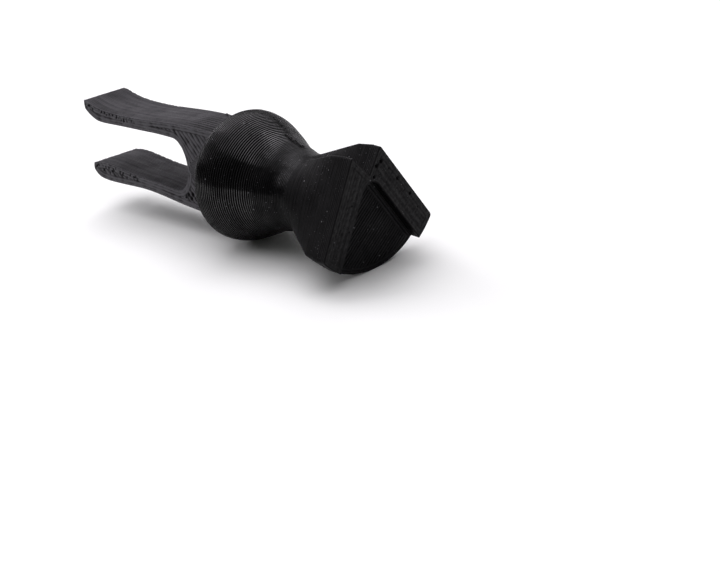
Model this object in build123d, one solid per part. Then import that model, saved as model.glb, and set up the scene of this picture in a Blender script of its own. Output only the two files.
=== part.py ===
from build123d import *
import math
import os

# Double-ended clay stamp: a two-tine fork, a turned grip and a flared head with an M-shaped die.
# The tool lies as on a table, on its bulb and the head's lower edge. X runs from the fork to the
# die, Y across the wings and Z is up.
# Lengths are in millimetres and angles in degrees.

# Grip
grip_length = 14.9          # from the fork seam to the head seam
bulb_radius = 8.6           # widest part of the bulb
bulb_place = 1.5            # from the fork seam to the widest part
seam_radius = 7.7           # where the fork's rim meets the bulb
waist_radius = 5.2          # where the waist meets the head
bulb_slope_share = 1.1      # rise of the bulb at the fork seam, against its run
waist_slope_share = 0.1     # rise of the waist at the head seam, against its run
# Past the widest part: place along the rest of the grip, radius as a share of the bulb's
grip_outline_shares = [
    (0.112, 0.981),
    (0.224, 0.922),
    (0.343, 0.846),
    (0.459, 0.763),
    (0.575, 0.692),
    (0.694, 0.645),
    (0.806, 0.607),
    (0.925, 0.598),
]

# Fork
upper_tine_length = 30.2    # from the seam to the upper tine's end
lower_tine_length = 29.1    # from the seam to the lower tine's end
fork_half_height = 5.8      # from the fork's middle line to its edge, at the root
root_half_width = 3.2       # half the fork's width at the root
tip_half_width = 3.6        # half the fork's width at the tips
flare_length = 8.9          # round flare from the flat sides out to the rim
crotch_place = 7.5          # from the seam to the bottom of the gap
crotch_depth = 2.7          # rounded end of the gap, along the fork
gap_half_height = 3.65      # half the gap at its rounded end
end_corner_radius = 0.3     # small corner at each tine's end, in the side view
plan_corner_radius = 0.5    # corners of the ends, seen from above
fork_turn = -3.7            # turn of the fork about the tool's own line
end_slope_share = 0.15      # how far the tines' upper corners open at the end, against their run
# Edges of the tines in the side view, from the root to the end: place along the tine,
# height as a share of the fork's half height
upper_outer_shares = [
    (0.000, 1.035),
    (0.150, 1.035),
    (0.301, 1.000),
    (0.434, 0.938),
    (0.566, 0.867),
    (0.699, 0.822),
    (0.798, 0.812),
    (0.897, 0.848),
    (1.000, 0.935),
]
upper_inner_shares = [
    (0.434, 0.622),
    (0.566, 0.586),
    (0.699, 0.550),
    (0.798, 0.517),
    (0.864, 0.505),
    (0.896, 0.520),
    (0.925, 0.567),
    (0.954, 0.640),
    (0.987, 0.765),
    (1.000, 0.860),
]
lower_inner_shares = [
    (0.450, 0.605),
    (0.588, 0.590),
    (0.725, 0.565),
    (0.828, 0.530),
    (0.931, 0.530),
    (1.000, 0.570),
]
lower_outer_shares = [
    (0.000, 0.980),
    (0.155, 0.980),
    (0.313, 0.950),
    (0.450, 0.897),
    (0.588, 0.866),
    (0.725, 0.900),
    (0.828, 0.930),
    (0.900, 0.938),
    (0.939, 0.922),
    (0.969, 0.876),
    (0.984, 0.825),
    (1.000, 0.720),
]

# Head and die
head_flare_length = 7.2     # from the round waist to the full outline
block_length = 2.6          # block between the flare and the stamp's floor
flare_size_share = 0.955    # size of the outline where the flare ends, against the die's
recess_depth = 1.5          # how far the die stands over the floor
tip_height = 8.2            # the two tips, over the tool's own line
tip_spread = 4.6            # between the two tips
notch_depth = 3.15          # notch between the tips
wing_angle = 30.0           # each wing's outer edge, against the upright
sweep_radius = 11.3         # round lower edge
die_height = 16.0           # from the tips to the lowest point
band_width = 3.3            # width of each wing
apex_radius = 1.5           # rounded corner where the wings' inner edges meet
tip_radius = 0.2            # rounding of the two tips
corner_radius = 0.3         # rounding of the wings' lower corners

# Round pegs and sockets inside the two seams
fork_peg_radius = 3.0
fork_peg_length = 5.0
head_peg_radius = 2.6
head_peg_length = 4.0
peg_clearance = 0.1         # all round a peg
peg_end_clearance = 0.3     # past a peg's end

# Places along the tool, counted from the fork seam
head_seam = grip_length
flare_end = head_seam + head_flare_length
floor_place = flare_end + block_length
face_place = floor_place + recess_depth

# Turn that brings the head's lower edge down to the surface that the bulb lies on
edge_drop = bulb_radius - (die_height - tip_height)
rest_turn = math.degrees(math.atan2(edge_drop, floor_place - bulb_place))

sine = math.sin(math.radians(wing_angle))
cosine = math.cos(math.radians(wing_angle))
reach = 2 * sweep_radius


def peg(start, length, radius):
    """Round peg along X that starts at a place on the tool's own line."""
    return extrude(Plane.YZ.offset(start) * Circle(radius), amount=length)


def make_grip():
    """Bulb and waist, turned about the tool's own line, with a socket at each end."""
    rest = grip_length - bulb_place
    rim = (0, seam_radius)
    widest = (bulb_place, bulb_radius)
    neck = (grip_length, waist_radius)
    flow = [(bulb_place + place * rest, share * bulb_radius) for place, share in grip_outline_shares]
    rise = Spline([rim, widest], tangents=[(1, bulb_slope_share), (1, 0)])
    fall = Spline([widest] + flow + [neck], tangents=[(1, 0), (1, waist_slope_share)])
    ends = Polyline([neck, (grip_length, 0), (0, 0), rim])
    body = revolve(Plane.XZ * make_face([rise, fall, ends]), Axis.X)
    body -= peg(0, fork_peg_length + peg_end_clearance, fork_peg_radius + peg_clearance)
    depth = head_peg_length + peg_end_clearance
    body -= peg(head_seam - depth, depth, head_peg_radius + peg_clearance)
    return body


def edge_points(shares, length, sign):
    """Points of one long edge of a tine in the side view, from the root to the end."""
    return [(-place * length, sign * share * fork_half_height) for place, share in shares]


def fork_side():
    """Side view of the whole fork: two tines, their ends and the rounded gap."""
    top = edge_points(upper_outer_shares, upper_tine_length, 1)
    under = edge_points(upper_inner_shares, upper_tine_length, 1)
    over = edge_points(lower_inner_shares, lower_tine_length, -1)
    bottom = edge_points(lower_outer_shares, lower_tine_length, -1)
    shoulder = -crotch_place - crotch_depth
    high = (shoulder, gap_half_height)
    low = (shoulder, -gap_half_height)
    top_corner = top.pop()
    over_corner = over.pop()
    top_stop = (top_corner[0] + end_corner_radius, top_corner[1])
    top_turn = (top_corner[0], top_corner[1] - end_corner_radius)
    over_stop = (over_corner[0] + end_corner_radius, over_corner[1])
    over_turn = (over_corner[0], over_corner[1] - end_corner_radius)
    lines = [
        Spline(top + [top_stop], tangents=[(-1, 0), (-1, end_slope_share)]),
        TangentArc(top_stop, top_turn, tangent=(-1, 0)),
        Line(top_turn, under[-1]),
        Spline([high] + under, tangents=[(-1, 0), (0, 1)]),
        EllipticalCenterArc((shoulder, 0), crotch_depth, gap_half_height, -90, arc_size=180),
        Spline([low] + over + [over_stop], tangents=[(-1, 0), (-1, -end_slope_share)]),
        TangentArc(over_stop, over_turn, tangent=(-1, 0)),
        Line(over_turn, bottom[-1]),
        Spline(bottom, tangents=[(-1, 0), (0, 1)]),
        Line(bottom[0], top[0]),
    ]
    return make_face(lines)


def make_fork():
    """Flat fork cut to its plan, with the round flare that meets the bulb and a peg."""
    side = extrude(Plane.XZ * fork_side(), amount=seam_radius, both=True)
    plan = make_face(Polyline([
        (0, root_half_width),
        (-upper_tine_length, tip_half_width),
        (-upper_tine_length, -tip_half_width),
        (0, -root_half_width),
    ], close=True))
    ends = plan.vertices().group_by(Axis.X)[0]
    plan = fillet(ends, plan_corner_radius)
    tines = side & extrude(plan, amount=2 * fork_half_height, both=True)
    start = (-flare_length, root_half_width)
    rim = (0, seam_radius)
    curve = TangentArc(start, rim, tangent=(1, 0))
    back = Polyline([rim, (0, 0), (-flare_length, 0), start])
    flare = revolve(Plane.XZ * make_face([curve, back]), Axis.X)
    gap_end = Pos(-crotch_place - crotch_depth, 0) * Ellipse(crotch_depth, gap_half_height)
    flare -= extrude(Plane.XZ * gap_end, amount=seam_radius, both=True)
    body = tines + flare + peg(0, fork_peg_length, fork_peg_radius)
    return Rot(X=fork_turn) * body


def wing(start_y, start_z, sign):
    """Far point of a line that runs down a wing from a place near the tips."""
    return (start_y + sign * reach * sine, start_z - reach * cosine)


def stamp_outline():
    """M-shaped outline of the head and die: two tips, a notch and a round lower edge."""
    half = tip_spread / 2
    right = (half, tip_height)
    left = (-half, tip_height)
    wedge = make_face(Polyline([
        (0, tip_height - notch_depth),
        right,
        wing(half, tip_height, 1),
        wing(-half, tip_height, -1),
        left,
    ], close=True))
    disc = Pos(0, tip_height - die_height + sweep_radius) * Circle(sweep_radius)
    outline = (wedge & disc).face()
    tips = outline.vertices().sort_by(Axis.Y)[-2:]
    outline = fillet(tips, tip_radius)
    lower = [outline.vertices().sort_by(Axis.X)[0], outline.vertices().sort_by(Axis.X)[-1]]
    return fillet(lower, corner_radius).face()


def floor_outline():
    """Sunk floor between the wings: their inner edges, which meet in a round corner."""
    apex_height = tip_height - (band_width / sine - tip_spread / 2 * cosine / sine)
    apex = (0, apex_height)
    triangle = make_face(Polyline([apex, wing(0, apex_height, 1), wing(0, apex_height, -1)], close=True))
    return fillet(triangle.vertices().sort_by(Axis.Y)[-1], apex_radius)


def round_start(outline):
    """Circle at the waist, split at the outline's corners so that the flare's faces match."""
    angles = [math.atan2((edge @ 0).Y, (edge @ 0).X) for edge in outline.outer_wire().order_edges()]
    arcs = []
    for first, second in zip(angles, angles[1:] + angles[:1]):
        turn = math.remainder(second - first, math.tau)
        stops = [first, first + turn / 2, first + turn]
        arcs.append(ThreePointArc([(waist_radius * math.cos(a), waist_radius * math.sin(a)) for a in stops]))
    return Wire(arcs)


def make_head():
    """Straight-ruled flare from the round waist to the M outline, a block that opens a little, a peg."""
    outline = stamp_outline()
    start = Plane.YZ.offset(head_seam) * round_start(outline)
    small = Plane.YZ.offset(flare_end) * scale(outline, by=flare_size_share).face().outer_wire()
    full = Plane.YZ.offset(floor_place) * outline.outer_wire()
    flare = Solid.make_loft([start, small], ruled=True)
    block = Solid.make_loft([small, full], ruled=True)
    return flare + block + peg(head_seam - head_peg_length, head_peg_length, head_peg_radius)


def make_die():
    """Raised M of even width round the sunk floor, its outer wall in line with the head's."""
    band = stamp_outline() - floor_outline()
    return extrude(Plane.YZ.offset(floor_place) * band, amount=recess_depth)


def at_rest(body):
    """Lean a piece with the whole tool, so that the head's lower edge comes down."""
    return Rot(Y=rest_turn) * body


pieces = {
    "fork": at_rest(make_fork()),
    "grip": at_rest(make_grip()),
    "stamp_head": at_rest(make_head()),
    "chevron_die": at_rest(make_die()),
}

# The middle of the tool's box goes over the origin and its lowest point on the surface
boxes = [body.bounding_box() for body in pieces.values()]
middle = (min(box.min.X for box in boxes) + max(box.max.X for box in boxes)) / 2
bottom = min(box.min.Z for box in boxes)

os.makedirs("parts", exist_ok=True)
for name, body in pieces.items():
    export_step(Pos(-middle, 0, -bottom) * body, f"parts/{name}.step")
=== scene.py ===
"""A double-ended clay stamp in black printed plastic: fork, grip, stamp head and chevron die."""
import logging
import math
from dataclasses import dataclass, field
from enum import Enum

import bmesh
import bpy
import numpy as np
from mathutils import Matrix, Vector
from mathutils.geometry import delaunay_2d_cdt


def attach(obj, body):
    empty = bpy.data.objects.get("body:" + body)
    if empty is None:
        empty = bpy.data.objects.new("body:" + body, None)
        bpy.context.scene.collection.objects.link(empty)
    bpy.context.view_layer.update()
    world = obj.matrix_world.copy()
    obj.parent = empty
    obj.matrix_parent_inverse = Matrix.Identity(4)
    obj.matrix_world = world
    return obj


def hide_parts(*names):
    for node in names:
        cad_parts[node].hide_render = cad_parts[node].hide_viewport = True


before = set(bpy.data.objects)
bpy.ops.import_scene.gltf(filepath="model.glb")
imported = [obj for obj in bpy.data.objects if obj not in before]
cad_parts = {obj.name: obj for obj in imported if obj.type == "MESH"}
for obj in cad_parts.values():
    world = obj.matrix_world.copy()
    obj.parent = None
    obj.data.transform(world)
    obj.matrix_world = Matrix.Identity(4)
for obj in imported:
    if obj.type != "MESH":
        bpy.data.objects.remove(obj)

log = logging.getLogger("clay_stamp")

MM = 0.001                  # one millimetre in metres
WELD = 1e-7                 # points nearer than this are one point, in metres
BODY = "root"
PAINTED_SHADE = "groove"           # painted shade at a point of a mesh, from 0 for none to 1 for full shade in a groove or join
LAYER_ROWS = (0.0, 0.12, 0.3, 0.5, 0.7, 0.88)       # mesh rows over one layer
STRAND_ROWS = (0.0, 0.14, 0.32, 0.5, 0.68, 0.86)    # mesh rows over one strand of the fork's flare
MIRROR = np.array([-1.0, 1.0])                      # turns the right half of a flat outline into the left

Pair = tuple[float, float]                          # a flat place or direction
Triple = tuple[float, float, float]
Dent = tuple[float, float, float, float]            # centre, radius and depth of a small pit
Faces = list[tuple[int, ...]]
Field = np.ndarray | float                          # one value per point, or the same one for all


@dataclass(frozen=True)
class Print:
    """How the plastic was laid down, in millimetres, with its rounded edges and drawn-in seams."""

    strand: float = 0.40
    layer: float = 0.30
    edge: float = 0.09
    seam: float = 0.02


@dataclass(frozen=True)
class Stance:
    """How the tool lies: leant on its bulb and the head's lower edge, with its middle over the origin."""

    lean: float = 1.974934
    forward: float = 1.778231
    lift: float = 8.651282

    def put(self, points: np.ndarray, turn: float = 0.0) -> np.ndarray:
        """Moves points from the tool's own line to where the tool lies.

        Args:
            points: Points in millimetres, with X along the tool from the fork's seam.
            turn: Turn about the tool's own line, in degrees.

        Returns:
            The points in metres.
        """
        roll = Matrix.Rotation(math.radians(turn), 3, "X")
        lean = Matrix.Rotation(math.radians(self.lean), 3, "Y")
        matrix = np.array(lean @ roll)
        return (points @ matrix.T + [self.forward, 0.0, self.lift]) * MM


# ---------------------------------------------------------------- curves


def spline(points: list[Pair], start: Pair, end: Pair, spacing: float) -> np.ndarray:
    """Samples a smooth curve through points, with a set direction at each end.

    Args:
        points: Places that the curve passes through, in order.
        start: Direction at the first point.
        end: Direction at the last point.
        spacing: Distance between samples.

    Returns:
        Samples along the curve, one row each.
    """
    knots = np.asarray(points, float)
    run = np.linalg.norm(np.diff(knots, axis=0), axis=1)
    count = len(knots)
    system, known = np.zeros((count, count)), np.zeros((count, 2))
    system[0, 0] = system[-1, -1] = 1.0
    known[0] = np.asarray(start) / np.linalg.norm(start)
    known[-1] = np.asarray(end) / np.linalg.norm(end)
    for i in range(1, count - 1):
        system[i, i - 1], system[i, i + 1] = 1 / run[i - 1], 1 / run[i]
        system[i, i] = 2 * (1 / run[i - 1] + 1 / run[i])
        known[i] = 3 * ((knots[i] - knots[i - 1]) / run[i - 1] ** 2 + (knots[i + 1] - knots[i]) / run[i] ** 2)
    slope = np.linalg.solve(system, known)
    place = np.concatenate([[0.0], np.cumsum(run)])
    at = np.linspace(0.0, place[-1], max(2, int(round(place[-1] / spacing)) + 1))
    index = np.clip(np.searchsorted(place, at, side="right") - 1, 0, count - 2)
    h = run[index][:, None]
    t = (at[:, None] - place[index][:, None]) / h
    first, last = knots[index], knots[index + 1]
    ease = t * t * (3 - 2 * t)
    leaving, arriving = t * (1 - t) ** 2 * slope[index], t * t * (1 - t) * slope[index + 1]
    return first * (1 - ease) + last * ease + h * (leaving - arriving)


def straight(first: Pair, last: Pair, spacing: float) -> np.ndarray:
    """Even samples along a straight line, both ends included.

    Args:
        first: Start of the line.
        last: End of the line.
        spacing: Distance between samples.

    Returns:
        The samples, one row each.
    """
    first, last = np.asarray(first, float), np.asarray(last, float)
    count = max(2, int(round(np.linalg.norm(last - first) / spacing)) + 1)
    return first + np.linspace(0, 1, count)[:, None] * (last - first)


def arc(centre: Pair, radii: Pair, start: float, stop: float, count: int) -> np.ndarray:
    """Samples an arc of an ellipse, with its angles in radians."""
    angle = np.linspace(start, stop, count)
    return np.stack([centre[0] + radii[0] * np.cos(angle), centre[1] + radii[1] * np.sin(angle)], -1)


def round_corner(before: Pair, corner: Pair, after: Pair, radius: float, count: int) -> np.ndarray:
    """Samples the arc that rounds a corner between two straight lines.

    Args:
        before: A point on the line that comes in.
        corner: Where the lines meet.
        after: A point on the line that leaves.
        radius: Radius of the arc.
        count: Number of samples.

    Returns:
        Samples from the first line to the second.
    """
    corner = np.asarray(corner, float)
    back = np.asarray(before, float) - corner
    ahead = np.asarray(after, float) - corner
    back, ahead = back / np.linalg.norm(back), ahead / np.linalg.norm(ahead)
    half = 0.5 * math.acos(float(np.clip(back @ ahead, -1, 1)))
    middle = (back + ahead) / np.linalg.norm(back + ahead)
    centre = corner + middle * radius / math.sin(half)
    first = corner + back * radius / math.tan(half) - centre
    last = corner + ahead * radius / math.tan(half) - centre
    start = math.atan2(first[1], first[0])
    sweep = math.remainder(math.atan2(last[1], last[0]) - start, math.tau)
    return arc(centre, (radius, radius), start, start + sweep, count)


def joined(paths: list[np.ndarray]) -> np.ndarray:
    """One closed path from paths that meet end to end, with no point twice."""
    return np.concatenate([path[:-1] for path in paths])


def run_along(loop: np.ndarray) -> np.ndarray:
    """Distance of each point of a closed path from its first point, along the path."""
    steps = np.linalg.norm(np.roll(loop, -1, axis=0) - loop, axis=1)
    return np.concatenate([[0.0], np.cumsum(steps)[:-1]])


def stand(flat: np.ndarray, place: Field) -> np.ndarray:
    """Sets flat points, Y across and Z up, at a place along the tool's own line."""
    return np.stack([np.broadcast_to(place, len(flat)), flat[:, 0], flat[:, 1]], -1)


def inward(loop: np.ndarray, closed: bool = True) -> np.ndarray:
    """Unit normals to the left of a flat path's direction, which is inside where the path turns left.

    Args:
        loop: Points of the path.
        closed: Whether the last point joins the first.

    Returns:
        One normal per point.
    """
    if closed:
        along = np.roll(loop, -1, axis=0) - np.roll(loop, 1, axis=0)
    else:
        along = np.gradient(loop, axis=0)
    normal = np.stack([-along[:, 1], along[:, 0]], -1)
    return normal / np.maximum(np.linalg.norm(normal, axis=1, keepdims=True), 1e-9)


def distance_to(points: np.ndarray, path: np.ndarray, closed: bool = True) -> np.ndarray:
    """Distance from each point to a flat path.

    Args:
        points: Flat points.
        path: Points of the path.
        closed: Whether the last point joins the first.

    Returns:
        One distance per point.
    """
    ends = np.roll(path, -1, axis=0) if closed else path[1:]
    best = np.full(len(points), 1e9)
    for first, last in zip(path, ends):
        run = last - first
        off = points - first
        t = np.clip((off @ run) / max(float(run @ run), 1e-12), 0, 1)
        best = np.minimum(best, ((off - t[:, None] * run) ** 2).sum(1))
    return np.sqrt(best)


def contains(loop: np.ndarray, points: np.ndarray) -> np.ndarray:
    """Which points lie inside a closed outline, as a row of true and false.

    Args:
        loop: Points of the outline.
        points: Flat points.

    Returns:
        True for each point that lies inside.
    """
    inside = np.zeros(len(points), bool)
    x, y = points[:, 0], points[:, 1]
    for (x0, y0), (x1, y1) in zip(loop, np.roll(loop, -1, axis=0)):
        if y0 != y1:
            crosses = (y0 > y) != (y1 > y)
            inside ^= crosses & (x < (x1 - x0) * (y - y0) / (y1 - y0) + x0)
    return inside


# ---------------------------------------------------------------- relief


def bead(position: np.ndarray, sharpness: float = 3.0) -> np.ndarray:
    """Depth between neighbouring strands: 0 on a strand's crown, 1 in the groove.

    Args:
        position: Place across the strands, counted in strands.
        sharpness: How narrow the groove is.

    Returns:
        One depth per place.
    """
    return np.abs(2 * (position - np.floor(position)) - 1) ** sharpness


def groove(distance: np.ndarray, place: float, width: float) -> np.ndarray:
    """Depth of one narrow groove: 1 at its place, falling off over its width."""
    return np.exp(-((distance - place) / width) ** 2)


def ripple(position: np.ndarray, seed: int, waves: int = 7) -> np.ndarray:
    """Slow uneven wave between about -1 and 1, the same in each run.

    Args:
        position: Places along the wave.
        seed: Which wave.
        waves: Number of plain waves that make it up.

    Returns:
        One value per place.
    """
    draw = np.random.RandomState(seed)
    total = np.zeros_like(position, dtype=float)
    for _ in range(waves):
        total += np.sin(position * draw.uniform(1.0, 7.0) + draw.uniform(0, math.tau))
    return total / math.sqrt(waves * 2)


def patches(points: np.ndarray, size: float, seed: int, waves: int = 14) -> np.ndarray:
    """Soft uneven patches over flat points, between about -1 and 1.

    Args:
        points: Flat points.
        size: Rough size of a patch.
        seed: Which pattern.
        waves: Number of waves that make it up.

    Returns:
        One value per point.
    """
    draw = np.random.RandomState(seed)
    total = np.zeros(len(points))
    for _ in range(waves):
        angle, pace = draw.uniform(0, math.tau), draw.uniform(0.5, 1.6) * math.tau / size
        total += np.sin(pace * (points @ [math.cos(angle), math.sin(angle)]) + draw.uniform(0, math.tau))
    return total / math.sqrt(waves * 2)


def dents(points: np.ndarray, places: tuple[Dent, ...]) -> np.ndarray:
    """Sum of small round dents, each given by its centre, radius and depth.

    Args:
        points: Flat points.
        places: The dents.

    Returns:
        One depth per point.
    """
    depth = np.zeros(len(points))
    for x, y, radius, deep in places:
        depth += deep * np.exp(-((points[:, 0] - x) ** 2 + (points[:, 1] - y) ** 2) / radius ** 2)
    return depth


def layer_rows(first: float, last: float, layer: float, ends: float) -> tuple[np.ndarray, np.ndarray]:
    """Places of mesh rows across a stack of layers, six to a layer.

    Args:
        first: Where the stack begins.
        last: Where the stack ends.
        layer: Thickness of a layer.
        ends: Room that is left free at both ends.

    Returns:
        The places, and how many layers each is from the first.
    """
    count = max(1, int(round((last - first) / layer)))
    position = np.append((np.arange(count)[:, None] + np.array(LAYER_ROWS)).ravel(), count)
    place = first + position * (last - first) / count
    keep = (place > first + ends) & (place < last - ends)
    return place[keep], position[keep]


def unevenness(seed: int, limits: Pair, count: int, position: np.ndarray) -> np.ndarray:
    """How far each layer lies in or out, for mesh rows across a stack of layers.

    Args:
        seed: Which stack.
        limits: Least and most that a layer may lie in.
        count: Number of values that are drawn; layers past them repeat the last.
        position: Place of each row, counted in layers.

    Returns:
        One offset per row.
    """
    drawn = np.random.RandomState(seed).uniform(*limits, count)
    return drawn[np.minimum(position.astype(int), count - 1)]


# ---------------------------------------------------------------- meshes


class Shell:
    """Points and faces of one piece, gathered patch by patch, in millimetres along the tool's own line."""

    def __init__(self) -> None:
        """Starts with no points and no faces."""
        self.points: list[np.ndarray] = []
        # painted shade of each point, darkest in grooves and joins
        self.grooves: list[np.ndarray] = []
        self.faces: Faces = []
        self.count = 0

    def add_points(self, points: np.ndarray, groove: Field) -> int:
        """Adds points, with the painted shade of each.

        Args:
            points: The points.
            groove: Painted shade of each point, from 0 to 1, darkest in grooves and joins.

        Returns:
            Number of the first point.
        """
        first = self.count
        self.grooves.append(np.broadcast_to(np.clip(groove, 0, 1), points.shape[:-1]).ravel())
        self.points.append(np.asarray(points, float).reshape(-1, 3))
        self.count += len(self.points[-1])
        return first

    def add_grid(self, grid: np.ndarray, closed: bool = False, groove: Field = 0.0) -> None:
        """Adds a grid of quads.

        Args:
            grid: Points in rows and columns.
            closed: Whether the last column joins the first.
            groove: Painted shade of each point, from 0 to 1, darkest in grooves and joins.
        """
        rows, columns = grid.shape[:2]
        first = self.add_points(grid, groove)
        number = first + np.arange(rows * columns).reshape(rows, columns)
        if closed:
            number = np.concatenate([number, number[:, :1]], axis=1)
        quads = np.stack([number[:-1, :-1], number[:-1, 1:], number[1:, 1:], number[1:, :-1]], -1)
        self.faces.extend(map(tuple, quads.reshape(-1, 4).tolist()))

    def add_patch(self, points: np.ndarray, faces: Faces, groove: Field = 0.0) -> None:
        """Adds faces over their own points.

        Args:
            points: Points of the patch.
            faces: Numbers of each face's points.
            groove: Painted shade of each point, from 0 to 1, darkest in grooves and joins.
        """
        first = self.add_points(points, groove)
        self.faces.extend(tuple(first + corner for corner in face) for face in faces)

    def build(
        self, name: str, node: str, material: bpy.types.Material, turn: float = 0.0, corner: float = 38.0,
    ) -> bpy.types.Object:
        """Makes the object in place of a node, with its patches welded.

        Args:
            name: Name of the object.
            node: The node that it stands for.
            material: Its finish.
            turn: Turn about the tool's own line, in degrees.
            corner: Angle above which an edge stays sharp, in degrees.

        Returns:
            The new object, which rides on the tool's body.
        """
        points = Stance().put(np.concatenate(self.points), turn)
        mesh = bpy.data.meshes.new(name)
        mesh.from_pydata(points.tolist(), [], self.faces)
        # the painted shade goes to the material as a point attribute
        depth = mesh.attributes.new(PAINTED_SHADE, "FLOAT", "POINT")
        depth.data.foreach_set("value", np.concatenate(self.grooves).astype(np.float32))
        work = bmesh.new()
        work.from_mesh(mesh)
        bmesh.ops.remove_doubles(work, verts=work.verts, dist=WELD)
        bmesh.ops.dissolve_degenerate(work, edges=work.edges, dist=WELD)
        bmesh.ops.recalc_face_normals(work, faces=work.faces)
        open_edges = sum(1 for edge in work.edges if not edge.is_manifold)
        work.to_mesh(mesh)
        work.free()
        mesh.polygons.foreach_set("use_smooth", [True] * len(mesh.polygons))
        mesh.set_sharp_from_angle(angle=math.radians(corner))
        mesh.materials.append(material)
        piece = bpy.data.objects.new(name, mesh)
        bpy.context.scene.collection.objects.link(piece)
        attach(piece, BODY)
        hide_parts(node)
        log.info("%s: %d faces, %d open edges", name, len(mesh.polygons), open_edges)
        return piece


def fill(loop: np.ndarray, spacing: float) -> tuple[np.ndarray, Faces]:
    """Fills a closed flat outline with small triangles.

    Args:
        loop: Points of the outline, turning left.
        spacing: Distance between the points inside.

    Returns:
        The flat points, the outline's own first, and the triangles.
    """
    low, high = loop.min(0), loop.max(0)
    rise = spacing * math.sqrt(3) / 2
    rows = np.arange(int((high[1] - low[1]) / rise) + 1)
    columns = np.arange(int((high[0] - low[0]) / spacing) + 1)
    x = low[0] + (columns[None, :] + 0.5 * (rows[:, None] % 2)) * spacing
    y = np.broadcast_to(low[1] + rows[:, None] * rise, x.shape)
    inside = np.stack([x.ravel(), y.ravel()], -1)
    inside = inside[contains(loop, inside)]
    inside = inside[distance_to(inside, loop) > 0.5 * spacing]
    flat = np.concatenate([loop, inside])
    size = len(loop)
    edges = [(i, (i + 1) % size) for i in range(size)]
    result = delaunay_2d_cdt([Vector(p) for p in flat.tolist()], edges, [], 0, 1e-9, False)
    points = np.array([[p.x, p.y] for p in result[0]])
    faces = np.array([tuple(face) for face in result[2]])
    kept = faces[contains(loop, points[faces].mean(1))]
    return points, [tuple(face) for face in kept.tolist()]


# ---------------------------------------------------------------- pieces


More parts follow.
